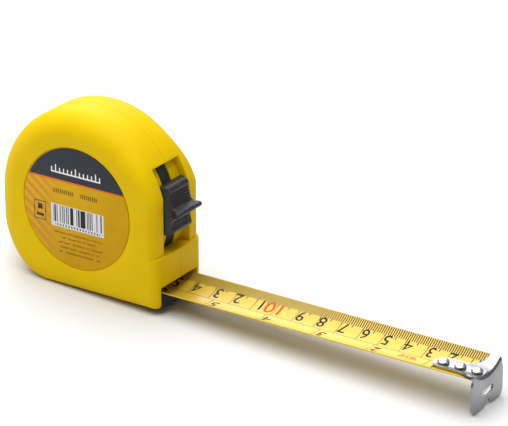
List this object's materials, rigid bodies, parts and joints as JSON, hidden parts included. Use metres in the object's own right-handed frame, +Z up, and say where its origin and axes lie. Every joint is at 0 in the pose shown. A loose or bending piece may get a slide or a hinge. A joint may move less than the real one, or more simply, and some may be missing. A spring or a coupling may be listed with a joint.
{
  "type": "tape measure",
  "caption": "Pocket tape measure with a sprung reel, curved steel blade, sliding hook, thumb lock, belt clip and wrist strap.",
  "frame": {"origin": "on the case's flat base, under the reel axis, in the middle of the blade's width", "axes": "+X out of the mouth along the blade, +Z up, -Y towards the labelled face and +Y towards the belt clip"},
  "size_m": [0.238, 0.0875, 0.0854],
  "materials": {
    "yellow_plastic": "satin moulded",
    "black_plastic": "satin moulded",
    "pale_plastic": "moulded",
    "printed_steel": "lacquered, printed",
    "bright_steel": "polished",
    "blue_steel": "tempered",
    "webbing": "woven",
    "sticker": "printed film"
  },
  "bodies": {
    "case": {"shell_label_side": "yellow_plastic", "shell_clip_side": "yellow_plastic", "label": "sticker", "mouth_insert": "black_plastic", "arbor": "bright_steel", "power_spring": "blue_steel", "blade_run": "printed_steel", "clip_base": "bright_steel", "clip_fold": "bright_steel", "screw_front": "bright_steel", "screw_rear": "bright_steel", "screw_centre": "bright_steel", "strap": "webbing", "strap_ferrule": "black_plastic", "strap_pin": "bright_steel"},
    "blade": {"blade_end": "printed_steel", "rivet_1": "bright_steel", "rivet_2": "bright_steel", "rivet_3": "bright_steel"},
    "hook": {"hook": "bright_steel"},
    "reel": {"reel_drum": "pale_plastic", "spring_cover": "pale_plastic", "reel_flange_label_side": "pale_plastic", "reel_flange_clip_side": "pale_plastic", "tape_coil": "printed_steel"},
    "lock": {"lock_button": "black_plastic", "lock_strip": "black_plastic"},
    "clip": {"clip_leg": "bright_steel"}
  },
  "joints": [
    {"name": "blade_slide", "type": "slide", "parent": "case", "child": "blade", "axis": [1, 0, 0], "range_m": [-0.1417, 0], "deforming": ["blade_run"]},
    {"name": "hook_play", "type": "slide", "parent": "blade", "child": "hook", "axis": [1, 0, 0], "range_m": [-0.0008, 0.0008]},
    {"name": "reel_spin", "type": "hinge", "parent": "case", "child": "reel", "pos_m": [0, 0, 0.036], "axis": [0, 1, 0], "range_deg": [0, 300]},
    {"name": "lock_travel", "type": "hinge", "parent": "case", "child": "lock", "pos_m": [0, 0, 0.036], "axis": [0, -1, 0], "range_deg": [0, 10.5]},
    {"name": "clip_flex", "type": "hinge", "parent": "case", "child": "clip", "pos_m": [0, 0.01995, 0.0488], "axis": [1, 0, 0], "range_deg": [0, 10], "stiffness_Nm_per_rad": 0.6, "springref_deg": -4.98, "deforming": ["clip_fold"]}
  ],
  "couplings": [
    {"joint": "reel_spin", "follows": "blade_slide", "rad_per_m": -36.36}
  ]
}
